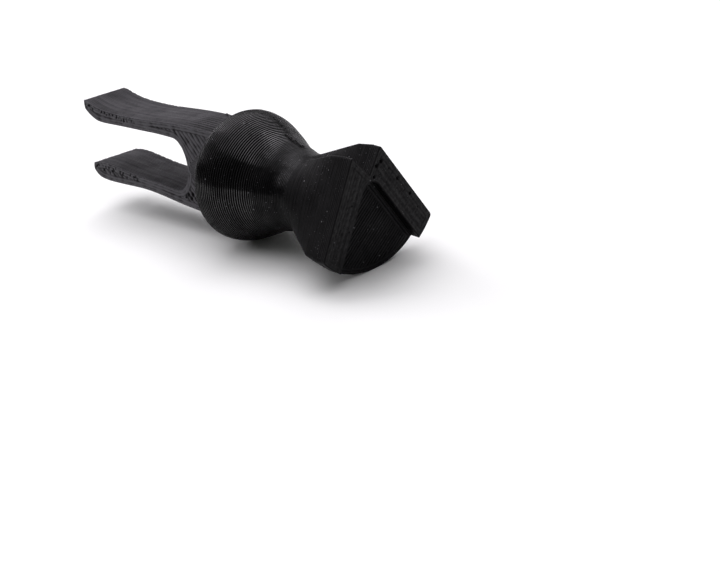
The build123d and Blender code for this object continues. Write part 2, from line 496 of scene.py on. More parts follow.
@dataclass
class Grip:
    """Bulb and waist, laid down in rings across the tool's own line."""

    print: Print = field(default_factory=Print)
    length: float = 14.9
    bulb_radius: float = 8.6
    bulb_place: float = 1.5
    seam_radius: float = 7.7
    waist_radius: float = 5.2
    outline: tuple[Pair, ...] = (
        (0.112, 0.981), (0.224, 0.922), (0.343, 0.846), (0.459, 0.763),
        (0.575, 0.692), (0.694, 0.645), (0.806, 0.607), (0.925, 0.598),
    )
    columns: int = 300
    bulb_groove: float = 0.120
    waist_groove: float = 0.024
    offsets: Pair = (-0.012, 0.0)
    wobble: float = 0.006
    scar_places: Pair = (7.7, 11.6)
    scar_angle: float = 22.0
    scar_fade: float = 0.5
    blob_height: float = 0.16
    dip_depth: float = 0.14
    dip_offset: float = 0.42
    blob_width: float = 0.18
    # Painted shade, as darker colour and less gloss: 0 is a bright crown, 1 a groove's full shade.
    ring_shade: float = 1.9
    waist_painted_shade: float = 0.46
    waist_shade_start: float = 8.0
    waist_shade_fade: float = 3.5
    seam_shade: float = 0.6
    neck_shade: float = 0.8
    dip_shade: float = 9.0
    blob_shade: float = 2.5

    def radius(self, place: np.ndarray) -> np.ndarray:
        """Radius of the smooth grip at places along it.

        Args:
            place: Places along the grip.

        Returns:
            One radius per place.
        """
        rest = self.length - self.bulb_place
        rise = spline([(0.0, self.seam_radius), (self.bulb_place, self.bulb_radius)], (1, 1.1), (1, 0), 0.05)
        flow = [(self.bulb_place + at * rest, share * self.bulb_radius) for at, share in self.outline]
        knots = [(self.bulb_place, self.bulb_radius)] + flow + [(self.length, self.waist_radius)]
        profile = np.concatenate([rise, spline(knots, (1, 0), (1, 0.1), 0.05)[1:]])
        return np.interp(place, profile[:, 0], profile[:, 1])

    def groove_depth(self, place: np.ndarray) -> np.ndarray:
        """Depth of the grooves between the rings, deepest on the bulb's shoulder.

        Args:
            place: Places along the grip.

        Returns:
            One depth per place.
        """
        return np.interp(place, [0.0, 2.0, 6.0, 9.0, 12.0, self.length], [
            self.bulb_groove, self.bulb_groove, 0.85 * self.bulb_groove, 0.4 * self.bulb_groove,
            self.waist_groove, self.waist_groove,
        ])

    def scar(self, place: np.ndarray, angle: np.ndarray) -> np.ndarray:
        """Height of the small blobs where each ring of the waist starts and stops.

        Args:
            place: Places along the grip.
            angle: Angles round it, from its top.

        Returns:
            One height per place and angle.
        """
        start, stop = self.scar_places
        along = np.clip((place - start) / self.scar_fade, 0, 1)
        along = along * np.clip((stop - place) / self.scar_fade, 0, 1)
        ring = np.floor(place / self.print.layer)
        drift = 0.05 * np.sin(ring * 2.3) + 0.03 * np.sin(ring * 5.1)
        around = (angle - math.radians(self.scar_angle)) * self.radius(place) - drift
        blob = self.blob_height * np.exp(-(around / self.blob_width) ** 2)
        dip = self.dip_depth * np.exp(-((around + self.dip_offset) / self.blob_width) ** 2)
        return along * (blob - dip) * (0.7 + 0.3 * np.sin(ring * 3.7))

    def shade(self, place: np.ndarray, position: np.ndarray, angle: np.ndarray) -> np.ndarray:
        """Painted shade of each point of the rings, in the grooves, over the waist, by the seam and along the
        scar: 0 bright, 1 dark.

        Args:
            place: Places of the mesh rows along the grip.
            position: The same, counted in rings.
            angle: Angles of the mesh columns.

        Returns:
            One row per place, and one column per angle.
        """
        depth = (self.groove_depth(place) / self.bulb_groove) ** 0.35
        # painted shade in the grooves between the rings
        ring = self.ring_shade * depth * bead(position, 1.1)
        # painted shade over the waist and by the seam with the fork
        waist_and_seam_shade = self.waist_painted_shade * np.clip((place - self.waist_shade_start) / self.waist_shade_fade, 0, 1)
        waist_and_seam_shade = waist_and_seam_shade + self.seam_shade * np.clip(1 - place, 0, 1)
        # painted shade in the scar's dip, and darker colour on its blobs
        mark = self.scar(place[:, None], angle[None, :])
        marked = self.dip_shade * np.maximum(-mark, 0) + self.blob_shade * np.maximum(mark, 0)
        return np.maximum(ring, waist_and_seam_shade)[:, None] + marked

    def build(self, material: bpy.types.Material) -> bpy.types.Object:
        """Makes the grip.

        Args:
            material: Its finish.

        Returns:
            The grip.
        """
        place, position = layer_rows(0.0, self.length, self.print.layer, 0.05)
        angle = np.linspace(0, math.tau, self.columns, endpoint=False)
        offset = unevenness(4, self.offsets, 80, position)
        cut = self.groove_depth(place) * bead(position, 2.0) - offset
        wave = self.wobble * ripple(angle * 3.0, 11)[None, :] * np.sin(position * 1.7)[:, None] - self.wobble
        radius = (self.radius(place) - cut)[:, None] + wave + self.scar(place[:, None], angle[None, :])
        whole = np.ones((1, self.columns))
        rim = (self.seam_radius - self.print.edge) * whole
        neck = (self.waist_radius - self.print.seam) * whole
        axis = 1e-4 * whole
        rings = self.shade(place, position, angle)
        # painted shade: full on the end caps and at the joins with the fork and the head
        shade = [whole, self.seam_shade * whole, rings, self.neck_shade * whole, whole]
        radius = np.concatenate([axis, rim, radius, neck, axis])
        place = np.concatenate([[0.0, 0.0], place, [self.length, self.length]])
        grid = np.stack([
            np.broadcast_to(place[:, None], radius.shape), radius * np.sin(angle), radius * np.cos(angle),
        ], -1)
        shell = Shell()
        shell.add_grid(grid, closed=True, groove=np.concatenate(shade))
        return shell.build("printed_grip", "grip", material)


@dataclass
class StampShape:
    """M-shaped outline that the head and the die share: Y across, Z up."""

    tip_height: float = 8.2
    tip_spread: float = 4.6
    notch_depth: float = 3.15
    wing_angle: float = 30.0
    sweep_radius: float = 11.3
    die_height: float = 16.0
    band_width: float = 3.3
    apex_radius: float = 1.5
    tip_radius: float = 0.2
    corner_radius: float = 0.5
    spacing: float = 0.16

    def __post_init__(self) -> None:
        """Works out the directions and corners that the outlines share."""
        self.sine = math.sin(math.radians(self.wing_angle))
        self.cosine = math.cos(math.radians(self.wing_angle))
        self.along = np.array([self.sine, -self.cosine])
        self.sweep_middle = self.tip_height - self.die_height + self.sweep_radius
        self.apex_height = self.tip_height - (self.band_width - self.tip_spread / 2 * self.cosine) / self.sine

    def sweep(self, start: float, stop: float, count: int) -> np.ndarray:
        """Samples of the round lower edge between two angles."""
        return arc((0.0, self.sweep_middle), (self.sweep_radius, self.sweep_radius), start, stop, count)

    def sweep_angle(self, point: np.ndarray) -> float:
        """Angle of a point, seen from the middle of the round lower edge."""
        return math.atan2(point[1] - self.sweep_middle, point[0])

    def reach(self, off: np.ndarray, radius: float) -> float:
        """How far a line along the right wing runs before it meets a circle.

        Args:
            off: Start of the line, from the circle's middle.
            radius: Radius of the circle.

        Returns:
            The length of the line.
        """
        half = float(off @ self.along)
        return -half + math.sqrt(half * half - float(off @ off) + radius * radius)

    def lower_corner(self) -> tuple[np.ndarray, np.ndarray, np.ndarray]:
        """Right lower corner: end of the wing's line, the corner's arc, and where the sweep begins.

        Returns:
            The two ends, with the arc between them.
        """
        start = np.array([self.tip_spread / 2, self.tip_height])
        inside = np.array([-self.cosine, -self.sine])
        middle = np.array([0.0, self.sweep_middle])
        off = start + inside * self.corner_radius - middle
        radius = self.sweep_radius - self.corner_radius
        centre = middle + off + self.along * self.reach(off, radius)
        on_line = centre - inside * self.corner_radius
        on_sweep = middle + (centre - middle) / radius * self.sweep_radius
        first = math.atan2(*(on_line - centre)[::-1])
        last = math.atan2(*(on_sweep - centre)[::-1])
        turn = math.remainder(last - first, math.tau)
        curve = arc(tuple(centre), (self.corner_radius,) * 2, first, first + turn, 5)
        return on_line, curve, on_sweep

    def edges(self) -> list[np.ndarray]:
        """Samples of each edge of the outline, in order from the right lower corner, turning left.

        Returns:
            One path per edge: wing, tip, notch, notch, tip, wing, corner, round lower edge, corner.
        """
        half = self.tip_spread / 2
        right, left = (half, self.tip_height), (-half, self.tip_height)
        notch = (0.0, self.tip_height - self.notch_depth)
        on_line, curve, on_sweep = self.lower_corner()
        right_tip = round_corner(tuple(on_line), right, notch, self.tip_radius, 4)
        left_tip = round_corner(notch, left, tuple(on_line * MIRROR), self.tip_radius, 4)
        angle = self.sweep_angle(on_sweep)
        count = int(2 * (math.pi / 2 + angle) * self.sweep_radius / self.spacing)
        return [
            straight(on_line, right_tip[0], self.spacing),
            right_tip,
            straight(right_tip[-1], notch, self.spacing),
            straight(notch, left_tip[0], self.spacing),
            left_tip,
            straight(left_tip[-1], on_line * MIRROR, self.spacing),
            curve * MIRROR,
            self.sweep(-math.pi - angle, angle, count),
            curve[::-1],
        ]

    def loop(self) -> np.ndarray:
        """The whole outline as one closed path."""
        return joined(self.edges())

    def circle(self, radius: float) -> np.ndarray:
        """Points of a circle that match the outline's, edge by edge.

        Args:
            radius: Radius of the circle.

        Returns:
            One point per point of the outline.
        """
        angles = []
        for edge in self.edges():
            first = math.atan2(edge[0, 1], edge[0, 0])
            turn = math.remainder(math.atan2(edge[-1, 1], edge[-1, 0]) - first, math.tau)
            angles.append(first + turn * np.linspace(0, 1, len(edge))[:-1])
        angle = np.concatenate(angles)
        return radius * np.stack([np.cos(angle), np.sin(angle)], -1)

    def inner_corner(self) -> np.ndarray:
        """Where the right wing's inner line meets the sweep."""
        off = np.array([0.0, self.apex_height - self.sweep_middle])
        return np.array([0.0, self.apex_height]) + self.along * self.reach(off, self.sweep_radius)

    def inner_path(self) -> np.ndarray:
        """The wings' inner edges from the right one's foot over the round apex to the left one's.

        Returns:
            The path.
        """
        foot = self.inner_corner()
        apex = round_corner(tuple(foot), (0.0, self.apex_height), tuple(foot * MIRROR), self.apex_radius, 14)
        right = straight(foot, apex[0], self.spacing)
        left = straight(apex[-1], foot * MIRROR, self.spacing)
        return np.concatenate([right[:-1], apex, left[1:]])

    def band(self) -> np.ndarray:
        """The die's outline: both wings, as one closed path that turns left.

        Returns:
            The path.
        """
        *sides, sweep, corner = self.edges()
        inner = self.sweep_angle(self.inner_corner())
        outer = self.sweep_angle(sweep[-1])
        count = int((outer - inner) * self.sweep_radius / self.spacing) + 2
        right = self.sweep(inner, outer, count)
        return joined([right, corner, *sides, (right * MIRROR)[::-1], self.inner_path()[::-1]])


@dataclass
class StampHead:
    """Flare from the round waist to the M outline, the block under the die, and the sunk floor."""

    print: Print = field(default_factory=Print)
    shape: StampShape = field(default_factory=StampShape)
    start: float = 14.9
    flare_length: float = 7.2
    block_length: float = 2.6
    waist_radius: float = 5.2
    flare_size: float = 0.955
    layer_groove: float = 0.009
    floor_groove: float = 0.095
    floor_across: Pair = (-0.60, 0.80)
    floor_border: float = 0.8
    offsets: Pair = (-0.012, 0.0)
    wobble: float = 0.006
    # Painted shade, as darker colour and less gloss: 0 is a bright crown, 1 a groove's full shade.
    wall_shade: float = 0.46
    groove_shade: float = 0.12
    offset_shade: float = 3.0
    floor_shades: Pair = (0.1, 0.65)

    def floor_relief(self, flat: np.ndarray) -> np.ndarray:
        """Depth of the strands that fill the floor between the wings.

        Args:
            flat: Points on the floor.

        Returns:
            Depth under the floor at each point.
        """
        walls = distance_to(flat, self.shape.inner_path(), closed=False)
        middle = np.array([0.0, self.shape.sweep_middle])
        sweep = self.shape.sweep_radius - np.linalg.norm(flat - middle, axis=1)
        edge = np.minimum(walls, np.maximum(sweep, 0))
        position = flat @ np.array(self.floor_across) / self.print.strand
        strands = self.floor_groove * bead(position + 0.05 * patches(flat, 4.0, 9), 2.2)
        rings = self.floor_groove * 0.8 * bead(edge / self.print.strand, 2.2)
        inside = np.clip((edge - self.floor_border) / 0.06, 0, 1)
        row = np.floor(position)
        uneven = 0.010 * np.sin(row * 12.9 + np.sin(row * 4.1) * 3.0)
        return (1 - inside) * rings + inside * (strands + uneven + 0.010)

    def build(self, material: bpy.types.Material) -> bpy.types.Object:
        """Makes the head.

        Args:
            material: Its finish.

        Returns:
            The head.
        """
        full = self.shape.loop()
        flare_end = self.start + self.flare_length
        floor = flare_end + self.block_length
        small = full * self.flare_size
        circle = self.shape.circle(self.waist_radius)
        place, position = layer_rows(self.start, floor, self.print.layer, self.print.edge)
        rows, shades = [], []
        for x, at, offset in zip(place, position, unevenness(12, self.offsets, 80, position)):
            if x < flare_end:
                ring = circle + (small - circle) * (x - self.start) / self.flare_length
            else:
                ring = small + (full - small) * (x - flare_end) / self.block_length
            cut = self.layer_groove * bead(at) - offset
            wave = self.wobble * (1 + ripple(np.arange(len(ring)) * 0.05, 30 + int(at) % 5))
            rows.append((x, ring + inward(ring) * (cut + wave)[:, None]))
            # painted shade on the walls: a base share, more in the layer grooves and on layers that lie
            # further in
            shades.append(self.wall_shade + self.groove_shade * bead(at) - self.offset_shade * offset)
        edge = self.print.edge
        top = full + inward(full) * edge
        rows.insert(0, (self.start, circle * (1 - self.print.seam / self.waist_radius)))
        rows.append((floor - 0.3 * edge, full + inward(full) * 0.3 * edge))
        rows.append((floor, top))
        grid = np.stack([stand(ring, x) for x, ring in rows])
        shell = Shell()
        # painted shade: full at the join with the waist and on the front rim
        shell.add_grid(grid, closed=True, groove=np.array([1.0, *shades, 0.5, 1.0])[:, None])
        flat, faces = fill(top, 0.1)
        depth = self.floor_relief(flat)
        depth[~contains(self.floor_region(), flat)] = 0.0
        depth[:len(top)] = 0.0
        # painted shade on the floor: a little on the crowns, more in its deeper grooves
        crown, hollow = self.floor_shades
        shade = crown + hollow * (depth / self.floor_groove) ** 2
        shell.add_patch(stand(flat, floor - depth), faces, groove=shade)
        back, faces = fill(rows[0][1], 1.0)
        shell.add_patch(stand(back, self.start), faces)
        return shell.build("printed_stamp_head", "stamp_head", material)

    def floor_region(self) -> np.ndarray:
        """Outline of what shows of the floor, with room below it for the sweep.

        Returns:
            The closed outline.
        """
        path = self.shape.inner_path()
        below = -2 * self.shape.sweep_radius
        return np.concatenate([path, [[path[-1, 0], below], [path[0, 0], below]]])


@dataclass
class ChevronDie:
    """The raised M that prints: perimeter strands round a mottled fill, with pits."""

    print: Print = field(default_factory=Print)
    shape: StampShape = field(default_factory=StampShape)
    start: float = 24.7
    height: float = 1.5
    wall_groove: float = 0.024
    face_groove: float = 0.022
    face_rings: tuple[Triple, ...] = ((0.40, 0.06, 0.5), (0.80, 0.075, 1.0))    # place, width, share
    face_border: float = 0.84
    roll: float = 0.010
    sunk: float = 0.012
    streak: float = 0.010
    crossed: float = 0.007
    mottle: Pair = (0.011, 0.008)
    offsets: Pair = (0.0, 0.010)
    # Painted shade, as darker colour and less gloss: 0 is a bright crown, 1 a groove's full shade.
    wall_shade: float = 0.38
    groove_shade: float = 0.25
    foot_shades: Pair = (1.0, 0.7)
    rim_shades: Pair = (0.25, 0.5)
    full_painted_shade_depth: float = 0.08
    pits: tuple[Dent, ...] = (
        (2.07, 6.22, 0.17, 0.30), (1.26, 5.84, 0.15, 0.26), (0.64, 4.61, 0.13, 0.22),
        (4.29, 3.17, 0.15, 0.26), (5.96, 0.56, 0.14, 0.22), (-5.27, -2.5, 0.16, -0.05),
        (1.55, 6.02, 0.10, 0.15), (3.1, 4.9, 0.09, 0.10), (-3.4, 2.2, 0.10, 0.10),
        (-4.4, -0.9, 0.09, 0.10), (6.9, -1.6, 0.09, 0.10), (5.1, 1.3, 0.08, 0.09),
    )

    def relief(self, flat: np.ndarray) -> np.ndarray:
        """Depth of the strands, fill and pits under the printing face.

        Args:
            flat: Points on the face.

        Returns:
            Depth at each point.
        """
        outer = distance_to(flat, self.shape.loop())
        inner = distance_to(flat, self.shape.inner_path(), closed=False)
        edge = np.minimum(outer, inner)
        side = np.where(flat[:, 0] < 0, -1.0, 1.0)
        along = flat[:, 1] * self.shape.cosine - side * flat[:, 0] * self.shape.sine
        across = flat[:, 1] * self.shape.sine + side * flat[:, 0] * self.shape.cosine
        rings = self.face_groove * sum(share * groove(edge, *ring) for *ring, share in self.face_rings)
        streaks = self.streak * ripple(across * 3.2, 5) * (1 + 0.5 * ripple(along * 0.8, 6))
        crossed = self.crossed * bead((0.8 * flat[:, 1] - 0.6 * flat[:, 0]) / self.print.strand, 2.0)
        coarse = self.mottle[0] * np.clip(patches(flat, 0.7, 21), -0.4, 1.6)
        fine = self.mottle[1] * np.clip(patches(flat, 0.33, 22), -0.2, 1.5)
        infill = self.sunk + crossed + streaks + (coarse + fine)
        roll = self.roll * np.clip(patches(flat, 0.7, 23), -1, 1) + self.roll
        inside = np.clip((edge - self.face_border) / 0.08, 0, 1)
        return rings + (1 - inside) * roll + inside * infill + dents(flat, self.pits)

    def build(self, material: bpy.types.Material) -> bpy.types.Object:
        """Makes the die.

        Args:
            material: Its finish.

        Returns:
            The die.
        """
        band = self.shape.band()
        normal = inward(band)
        face = self.start + self.height
        place, position = layer_rows(self.start, face, self.print.layer, self.print.edge)
        edge = self.print.edge
        rows = [
            (self.start, band + normal * 0.3 * edge),
            (self.start + 0.3 * edge, band + normal * 0.12 * edge),
        ]
        for x, at, offset in zip(place, position, unevenness(20, self.offsets, 12, position)):
            rows.append((x, band + normal * (self.wall_groove * bead(at) + offset)))
        rows.append((face - 0.35 * edge, band + normal * 0.3 * edge))
        rows.append((face, band + normal * edge))
        grid = np.stack([stand(ring, x) for x, ring in rows])
        shell = Shell()
        # painted shade on the walls: full at the foot where the die meets the head, more in the layer grooves
        walls = self.wall_shade + self.groove_shade * bead(position)
        walls = np.concatenate([self.foot_shades, walls, self.rim_shades])
        shell.add_grid(grid, closed=True, groove=walls[:, None])
        flat, faces = fill(rows[-1][1], 0.085)
        depth = self.relief(flat)
        depth[:len(band)] = 0.0
        # painted shade on the face, deepest in its pits and strand grooves
        shade = depth / self.full_painted_shade_depth
        shade[:len(band)] = self.rim_shades[-1]
        shell.add_patch(stand(flat, face - depth), faces, groove=shade)
        back, faces = fill(rows[0][1], 0.6)
        shell.add_patch(stand(back, self.start), faces)
        return shell.build("printed_chevron_die", "chevron_die", material)


@dataclass
class Fork:
    """Flat two-tine fork laid down on its side, with the stepped flare that meets the bulb."""

    print: Print = field(default_factory=Print)
    upper_length: float = 30.2
    lower_length: float = 29.1
    half_height: float = 5.8
    root_width: float = 3.2
    tip_width: float = 3.6
    flare_length: float = 8.9
    rim_radius: float = 7.7
    crotch_place: float = 7.5
    crotch_depth: float = 2.7
    gap_height: float = 3.65
    end_radius: float = 0.42
    plan_radius: float = 0.8
    turn: float = -3.7
    spacing: float = 0.2
    wall_groove: float = 0.040
    flare_groove: float = 0.080
    offsets: Pair = (0.0, 0.032)
    root_place: float = -9.0
    root_groove: float = 0.075
    root_shade: float = 0.8     # painted shade in those lines, where 1 is a groove's full shade
    side_rings: tuple[Triple, ...] = ((0.42, 0.07, 0.035), (0.84, 0.08, 0.050))    # place, width, depth
    side_border: float = 0.84
    swell: float = 0.020
    fine_swell: float = 0.010
    hatch_spacing: float = 0.68
    hatch_groove: float = 0.060
    upper_voids: Triple = (4.3, 9.0, -17.0)        # lowest, highest, and the place where they end
    lower_voids: Triple = (-3.9, -2.6, -18.5)
    void_depth: float = 0.17
    pit_place: float = -17.5
    upper_pits: Triple = (4.55, 0.055, 0.62)       # height 24 mm from the seam, slope, half width
    lower_pits: Triple = (-3.75, 0.0, 0.66)
    pit_depth: float = 0.36
    nub_place: Pair = (-5.85, 2.85)
    nub_size: Pair = (0.34, 0.24)
    nub_height: float = 0.30
    # painted shade on the walls: a base share, and more with each point's depth
    wall_shades: Pair = (0.23, 4.0)
    full_painted_shade_depth: float = 0.10
    upper_outer: tuple[Pair, ...] = (
        (0.000, 1.035), (0.150, 1.035), (0.301, 1.000), (0.434, 0.938), (0.566, 0.867),
        (0.699, 0.822), (0.798, 0.812), (0.897, 0.848), (1.000, 0.935),
    )
    upper_inner: tuple[Pair, ...] = (
        (0.434, 0.622), (0.566, 0.586), (0.699, 0.550), (0.798, 0.517), (0.864, 0.505),
        (0.896, 0.520), (0.925, 0.567), (0.954, 0.640), (0.987, 0.765), (1.000, 0.860),
    )
    lower_inner: tuple[Pair, ...] = (
        (0.450, 0.605), (0.588, 0.590), (0.725, 0.565), (0.828, 0.530), (0.931, 0.530), (1.000, 0.570),
    )
    lower_outer: tuple[Pair, ...] = (
        (0.000, 0.980), (0.155, 0.980), (0.313, 0.950), (0.450, 0.897), (0.588, 0.866), (0.725, 0.900),
        (0.828, 0.930), (0.900, 0.938), (0.939, 0.922), (0.969, 0.876), (0.984, 0.825), (1.000, 0.720),
    )
    near_pits: tuple[Dent, ...] = (
        (-20.76, 4.05, 0.16, 0.28), (-19.96, -3.78, 0.12, 0.20), (-19.56, 5.54, 0.12, 0.16),
        (-7.87, -3.81, 0.20, 0.30), (-6.96, -3.62, 0.22, 0.32), (-7.35, -4.25, 0.20, 0.26),
        (-6.30, -4.10, 0.18, 0.28), (-4.94, -4.45, 0.20, 0.28), (-5.65, -3.75, 0.16, 0.22),
        (-8.55, -4.35, 0.13, 0.18), (-28.52, 4.89, 0.16, 0.20), (-25.06, 4.52, 0.14, 0.20),
        (-23.22, 4.44, 0.14, 0.20), (-19.25, 4.75, 0.12, 0.16),
    )

    def edge(self, shares: tuple[Pair, ...], length: float, sign: int) -> list[Pair]:
        """Points of one long edge of a tine, from the root to the end."""
        return [(-place * length, sign * share * self.half_height) for place, share in shares]

    def side(self) -> np.ndarray:
        """Side view of the fork as a closed path that turns left: X along, Z up.

        Returns:
            The path.
        """
        top = self.edge(self.upper_outer, self.upper_length, 1)
        under = self.edge(self.upper_inner, self.upper_length, 1)
        over = self.edge(self.lower_inner, self.lower_length, -1)
        bottom = self.edge(self.lower_outer, self.lower_length, -1)
        shoulder = -self.crotch_place - self.crotch_depth
        r = self.end_radius
        top_corner, over_corner = top.pop(), over.pop()
        top_stop, over_stop = (top_corner[0] + r, top_corner[1]), (over_corner[0] + r, over_corner[1])
        turn, half = math.pi / 2, math.pi
        high, low = (shoulder, self.gap_height), (shoulder, -self.gap_height)
        gap = arc((shoulder, 0.0), (self.crotch_depth, self.gap_height), turn, -turn, 48)
        top_arc = arc((top_stop[0], top_stop[1] - r), (r, r), turn, half, 6)
        over_arc = arc((over_stop[0], over_stop[1] - r), (r, r), turn, half, 6)
        return joined([
            spline(top + [top_stop], (-1, 0), (-1, 0.15), self.spacing),
            top_arc,
            straight(top_arc[-1], under[-1], self.spacing),
            spline([high] + under, (-1, 0), (0, 1), self.spacing)[::-1],
            gap,
            spline([low] + over + [over_stop], (-1, 0), (-1, -0.15), self.spacing),
            over_arc,
            straight(over_arc[-1], bottom[-1], self.spacing),
            spline(bottom, (-1, 0), (0, 1), self.spacing)[::-1],
            straight(bottom[0], top[0], 0.6),
        ])

    def half_width(self, x: np.ndarray) -> np.ndarray:
        """Half the fork's width, with its rounded corners at the very end.

        Args:
            x: Places along the fork.

        Returns:
            One half width per place.
        """
        width = self.root_width - (self.tip_width - self.root_width) * x / self.upper_length
        past = np.clip(-x - (self.upper_length - self.plan_radius), 0, self.plan_radius)
        return width - (self.plan_radius - np.sqrt(self.plan_radius ** 2 - past ** 2))

    def wall_relief(self, loop: np.ndarray, position: float) -> np.ndarray:
        """Depth of one row of the walls, which run along the tines.

        Args:
            loop: The side view's outline.
            position: Place across the layers, counted in layers.

        Returns:
            Depth at each point of the outline.
        """
        run, layer = run_along(loop), int(position)
        depth = self.wall_groove * bead(position) * (1 + 0.3 * ripple(run * 0.2, 70 + layer % 7))
        return depth + 0.010 * (1 + ripple(run * 0.15, 90 + layer))

    def root_lines(self, loop: np.ndarray, across: float, position: float) -> np.ndarray:
        """Share of the deeper lines on top of the upper tine near its root, two layers apart.

        Args:
            loop: The side view's outline.
            across: Place across the fork, from -1 at the near side to 1.
            position: Place across the layers, counted in layers.

        Returns:
            One share per point of the outline.
        """
        root = np.clip((loop[:, 0] - self.root_place) / 5.0, 0, 1) * np.clip(0.9 - across, 0, 1)
        return root * (loop[:, 1] > 0) * bead(position / 2, 2.5)

    def rough_edge(self, loop: np.ndarray, near: bool) -> np.ndarray:
        """Depth of the torn voids along the sides' upper edges near the tines' ends.

        Args:
            loop: The side view's outline.
            near: Whether it is the side that has the deeper pits.

        Returns:
            Depth at each point of the outline.
        """
        x, z = loop[:, 0], loop[:, 1]
        where = np.zeros(len(loop), bool)
        for low, high, place in (self.upper_voids, self.lower_voids):
            where |= (z > low) & (z < high) & (x < place)
        torn = np.clip(ripple(run_along(loop) * 2.6, 41 if near else 43, 9) + 0.15, 0, 1.2)
        return np.where(where, self.void_depth * torn, 0.02 * torn)

    def side_relief(self, flat: np.ndarray, loop: np.ndarray, near: bool) -> np.ndarray:
        """Depth of the strands and pits in one flat side.

        Args:
            flat: Points on the side.
            loop: The side view's outline.
            near: Whether it is the side that has the deeper pits.

        Returns:
            Depth at each point.
        """
        edge = distance_to(flat, loop)
        rings = sum(deep * groove(edge, *ring) for *ring, deep in self.side_rings)
        inside = np.clip((edge - self.side_border) / 0.1, 0, 1)
        slant = flat @ [1.0, 1.0 if near else -1.0] / math.sqrt(2)
        hatch = self.hatch_groove * bead(slant / self.hatch_spacing, 1.6)
        swell = self.swell * (1 + patches(flat, 1.3, 51 if near else 52))
        fine = self.fine_swell * np.clip(patches(flat, 0.45, 53), 0, 1.5)
        depth = rings + inside * hatch + swell + fine
        torn = np.clip(patches(flat, 0.62, 61 if near else 62) - 0.35, 0, 1.1)
        x, z = flat[:, 0], flat[:, 1]
        ends = np.clip((self.pit_place - x) / 3.0, 0, 1)
        strips = sum(
            np.clip(1 - np.abs(z - (height + slope * (-x - 24))) / half, 0, 1)
            for height, slope, half in (self.upper_pits, self.lower_pits)
        )
        depth = depth + self.pit_depth * torn * ends * strips
        return depth + dents(flat, self.near_pits) if near else depth

    def add_side(self, shell: Shell, loop: np.ndarray, near: bool) -> tuple[list[np.ndarray], ...]:
        """Adds one flat side of the tines, with its torn edge.

        Args:
            shell: Where it is added.
            loop: The side view's outline.
            near: Whether it is the side that has the deeper pits.

        Returns:
            The edge's two rows of points from the outside inwards, and the painted shade of each, more where
            it is torn.
        """
        normal, edge, side = inward(loop), self.print.edge, -1.0 if near else 1.0
        torn = self.rough_edge(loop, near)
        soft = loop + normal * (0.3 * edge + 0.3 * torn)[:, None]
        inset = loop + normal * (edge + 0.55 * torn)[:, None]
        soft_y = side * (self.half_width(soft[:, 0]) - 0.3 * edge - 0.25 * torn)
        inset_y = side * (self.half_width(inset[:, 0]) - 0.7 * torn)
        flat, faces = fill(inset, 0.1 if near else 0.14)
        depth = self.side_relief(flat, loop, near)
        depth[:len(inset)] = 0.7 * torn
        y = side * (self.half_width(flat[:, 0]) - depth)
        # painted shade on the side, deepest in its pits and grooves
        shade = (depth - 0.025) / self.full_painted_shade_depth
        shell.add_patch(self.spread(flat, y), faces, groove=shade)
        # the edge rows get painted shade, more where the edge is torn
        return [self.spread(soft, soft_y), self.spread(inset, inset_y)], [0.2 + 1.0 * torn, 0.3 + 1.2 * torn]

    @staticmethod
    def spread(flat: np.ndarray, across: np.ndarray) -> np.ndarray:
        """Sets points of the side view at places across the fork."""
        return np.stack([flat[:, 0], across, flat[:, 1]], -1)

    def add_plate(self, shell: Shell) -> None:
        """Adds the tines: walls laid down in layers across the fork, and both flat sides.

        Args:
            shell: Where they are added.
        """
        loop = self.side()
        normal = inward(loop)
        layers = 2 * int(round((self.root_width + self.tip_width) / 2 / self.print.layer))
        share, position = layer_rows(-1.0, 1.0, 2.0 / layers, 0.03)
        base, gain = self.wall_shades
        rows, shades = [], []
        for at, count, offset in zip(share, position, unevenness(31, self.offsets, layers + 1, position)):
            depth = self.wall_relief(loop, count) + offset
            lines = self.root_lines(loop, at, count)
            ring = loop + normal * (depth + self.root_groove * lines)[:, None]
            rows.append(self.spread(ring, at * self.half_width(ring[:, 0])))
            # painted shade on the walls, more in deeper places and in the lines by the root
            shades.append(base + gain * depth + self.root_shade * lines)
        near_rows, near_shades = self.add_side(shell, loop, True)
        far_rows, far_shades = self.add_side(shell, loop, False)
        grid = np.stack([*near_rows[::-1], *rows, *far_rows])
        (x, y), (length, width) = self.nub_place, self.nub_size
        off = ((grid[..., 0] - x) / length) ** 2 + ((grid[..., 1] - y) / width) ** 2
        grid[..., 2] += np.where(grid[..., 2] > 5.0, self.nub_height * np.exp(-off), 0.0)
        shell.add_grid(grid, closed=True, groove=np.stack([*near_shades[::-1], *shades, *far_shades]))

    def flare_place(self, radius: np.ndarray) -> np.ndarray:
        """Place along the tool where the round flare reaches a radius.

        Args:
            radius: Distances from the tool's own line.

        Returns:
            One place per radius.
        """
        rise = self.rim_radius - self.root_width
        sweep = (self.flare_length ** 2 + rise ** 2) / (2 * rise)
        over = np.clip(radius - self.root_width, 0, rise)
        return -self.flare_length + np.sqrt(np.maximum(sweep ** 2 - (sweep - over) ** 2, 0))

    def flare_levels(self, start: float) -> tuple[np.ndarray, np.ndarray]:
        """Places across the fork of the rows of the flare's strands, and each row's depth.

        Args:
            start: Radius where the flare leaves the flat sides.

        Returns:
            The places, and the depths of the rows under the flare's surface.
        """
        radius = np.linspace(start, self.rim_radius - 0.02, 500)
        steps = np.hypot(np.diff(radius), np.diff(self.flare_place(radius)))
        run = np.concatenate([[0.0], np.cumsum(steps)])
        count = int(run[-1] / (0.95 * self.print.strand))
        position = (np.arange(count)[:, None] + np.array(STRAND_ROWS)).ravel()
        level = np.interp(position * run[-1] / count, run, radius)
        depth = self.flare_groove * bead(position, 2.0)
        flat = np.linspace(-start, start, 2 * int(start / self.print.layer) * 4 + 1)[1:-1]
        flat_depth = 0.5 * self.flare_groove * bead(flat / self.print.layer, 2.0)
        return (np.concatenate([-level[::-1], flat, level]),
                np.concatenate([depth[::-1], flat_depth, depth]))

